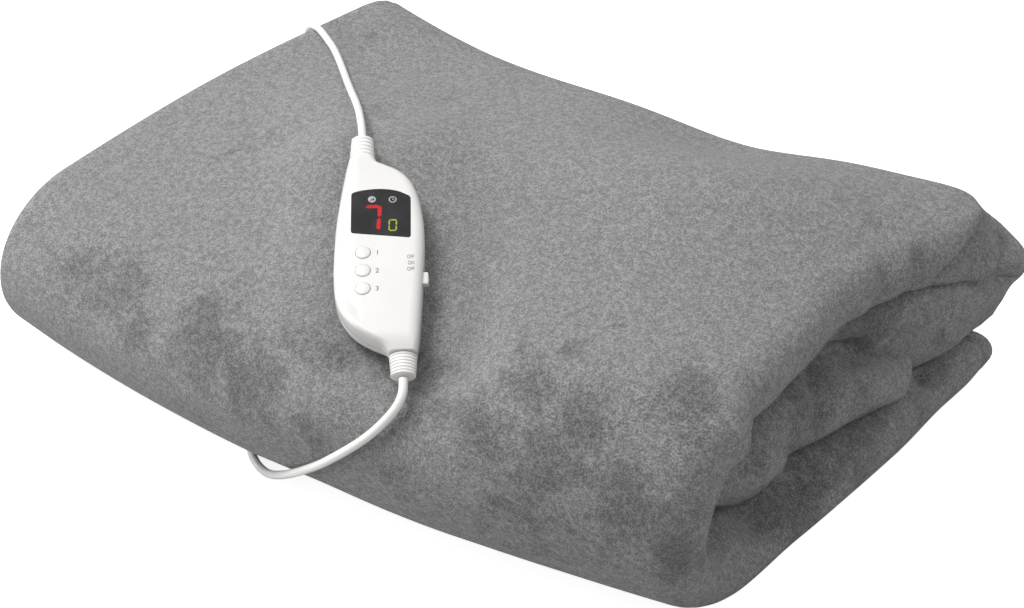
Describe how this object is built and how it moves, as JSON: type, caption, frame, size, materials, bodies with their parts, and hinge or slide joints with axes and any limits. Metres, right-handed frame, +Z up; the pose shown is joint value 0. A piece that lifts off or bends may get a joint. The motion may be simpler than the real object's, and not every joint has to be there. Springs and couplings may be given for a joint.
{
  "type": "electric heated blanket",
  "caption": "Grey plush heated blanket, folded into a loose bundle, with a white hand control on top, its lead into the cloth and a mains lead with a plug.",
  "frame": {"origin": "on the surface that the folded blanket rests on, under the middle of the folded cloth", "axes": "+X along the folded blanket towards its open right end, -Y towards its big front fold, +Z up"},
  "size_m": [0.4693, 0.3646, 0.1514],
  "materials": {
    "grey_plush": "short brushed pile",
    "white_shell": "satin gloss",
    "white_button": "satin gloss",
    "dark_window": "dark clear window with a lit display",
    "white_cord": "satin flexible plastic",
    "dark_tie": "matte",
    "white_plug": "satin moulded plastic",
    "bright_pin": "bright plated metal"
  },
  "bodies": {
    "blanket_body": {"blanket": "grey_plush", "control_base": "white_shell", "control_cover": "white_shell", "display_window": "dark_window", "relief_mains": "white_cord", "relief_blanket": "white_cord", "lead_mains": "white_cord", "lead_coil": "white_cord", "coil_tie": "dark_tie", "lead_plug_tail": "white_cord", "lead_blanket": "white_cord", "plug_body": "white_plug", "plug_pin_near": "bright_pin", "plug_pin_far": "bright_pin"},
    "button_upper_body": {"button_upper": "white_button"},
    "button_middle_body": {"button_middle": "white_button"},
    "button_lower_body": {"button_lower": "white_button"},
    "slide_switch_body": {"slide_switch": "white_button"}
  },
  "joints": [
    {"name": "button_upper_press", "type": "slide", "parent": "blanket_body", "child": "button_upper_body", "axis": [0.1321, -0.1715, 0.9763], "range_m": [-0.0008, 0], "stiffness_N_per_m": 1500},
    {"name": "button_middle_press", "type": "slide", "parent": "blanket_body", "child": "button_middle_body", "axis": [0.1321, -0.1715, 0.9763], "range_m": [-0.0008, 0], "stiffness_N_per_m": 1500},
    {"name": "button_lower_press", "type": "slide", "parent": "blanket_body", "child": "button_lower_body", "axis": [0.1321, -0.1715, 0.9763], "range_m": [-0.0008, 0], "stiffness_N_per_m": 1500},
    {"name": "slide_switch_move", "type": "slide", "parent": "blanket_body", "child": "slide_switch_body", "axis": [-0.5957, 0.7735, 0.2164], "range_m": [-0.0025, 0.0025]}
  ]
}
